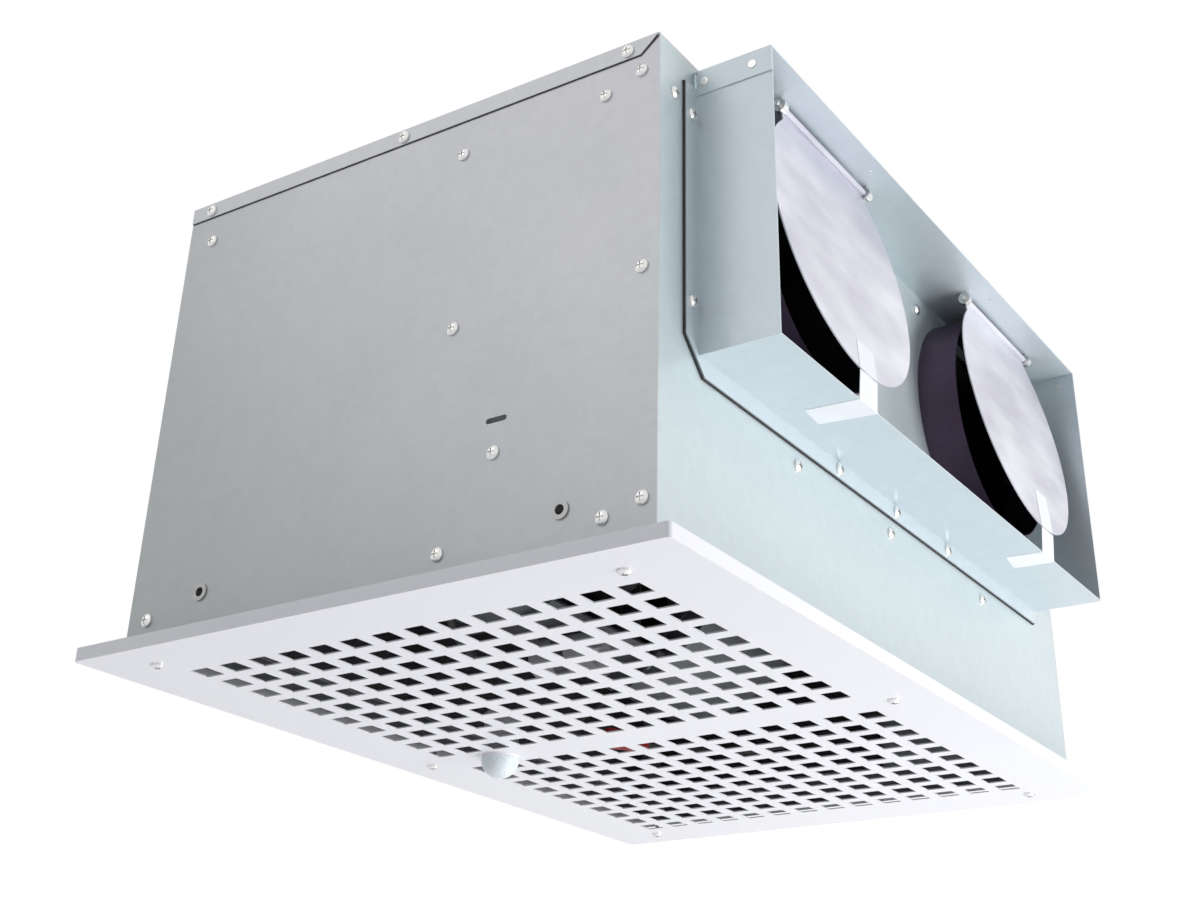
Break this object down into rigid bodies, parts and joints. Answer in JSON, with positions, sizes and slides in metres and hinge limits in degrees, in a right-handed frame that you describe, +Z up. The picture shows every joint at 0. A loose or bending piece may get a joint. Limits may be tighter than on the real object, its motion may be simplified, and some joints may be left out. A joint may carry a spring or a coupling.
{
  "type": "ceiling ventilation fan",
  "caption": "Ceiling-mounted extractor with a galvanised box casing, double blower, rectangular discharge hood with two backdraft flaps, and a perforated grille with an occupancy sensor.",
  "frame": {"origin": "middle of the casing at the ceiling line, where the open bottom meets the ceiling", "axes": "+X the way the air leaves through the hood, +Y along the casing's long side, +Z up"},
  "size_m": [0.5364, 0.738, 0.4005],
  "materials": {
    "galvanised": "bare galvanised sheet, satin",
    "flap_sheet": "pale satin sheet",
    "white_coat": "satin white powder coat",
    "zinc": "bright zinc",
    "steel": "turned steel",
    "motor_paint": "black enamel",
    "laminations": "stacked laminations",
    "foam": "dark acoustic foam",
    "rubber": "black rubber",
    "white_plastic": "white moulded",
    "dome_plastic": "milky lens plastic",
    "red_plastic": "red moulded",
    "tape": "bare white film"
  },
  "bodies": {
    "casing": {"back_end_panel": "galvanised", "bottom_frame": "galvanised", "bulkhead": "galvanised", "capacitor": "white_plastic", "capacitor_strap": "galvanised", "clip_nuts": "zinc", "collar_left": "galvanised", "collar_right": "galvanised", "end_screws": "zinc", "flange_screws": "zinc", "grille": "white_coat", "grille_screws": "zinc", "hanger_nuts": "zinc", "hinge_eyes": "zinc", "hinge_rods": "zinc", "hood_gasket": "foam", "hood_rivets": "zinc", "hood_tapes": "tape", "hood_top": "galvanised", "hood_wrap": "galvanised", "inlet_rings": "galvanised", "liner_back": "foam", "liner_sides": "foam", "liner_top": "foam", "lip_screws": "zinc", "motor_base": "galvanised", "motor_bearings": "steel", "motor_caps": "motor_paint", "motor_lead": "rubber", "motor_plug": "red_plastic", "motor_shell": "motor_paint", "motor_stator": "laminations", "outlet_end_panel": "galvanised", "plenum_floor": "galvanised", "relay_box": "white_plastic", "rubber_rings": "rubber", "scroll_screws": "zinc", "scroll_sides_left": "galvanised", "scroll_sides_right": "galvanised", "scroll_wrap_left": "galvanised", "scroll_wrap_right": "galvanised", "sensor_body": "white_plastic", "sensor_dome": "dome_plastic", "sensor_lead": "rubber", "sensor_nut": "white_plastic", "side_panel_left": "galvanised", "side_panel_right": "galvanised", "side_screws": "zinc", "top_cover": "galvanised", "wiring_box": "galvanised", "wiring_cover": "galvanised"},
    "rotor": {"motor_shaft": "steel", "motor_core": "laminations", "impeller_left": "galvanised", "impeller_right": "galvanised", "set_screws": "zinc"},
    "flap_left": {"flap_left": "flap_sheet", "flap_tape_left": "tape"},
    "flap_right": {"flap_right": "flap_sheet", "flap_tape_right": "tape"}
  },
  "joints": [
    {"name": "rotor_spin", "type": "hinge", "parent": "casing", "child": "rotor", "pos_m": [-0.076, 0, 0.185], "axis": [0, 1, 0], "continuous": true},
    {"name": "flap_left_swing", "type": "hinge", "parent": "casing", "child": "flap_left", "pos_m": [0.262, -0.169, 0.3595], "axis": [0, -1, 0], "range_deg": [-7.8, 74]},
    {"name": "flap_right_swing", "type": "hinge", "parent": "casing", "child": "flap_right", "pos_m": [0.262, 0.169, 0.3595], "axis": [0, -1, 0], "range_deg": [-7.8, 74]}
  ]
}
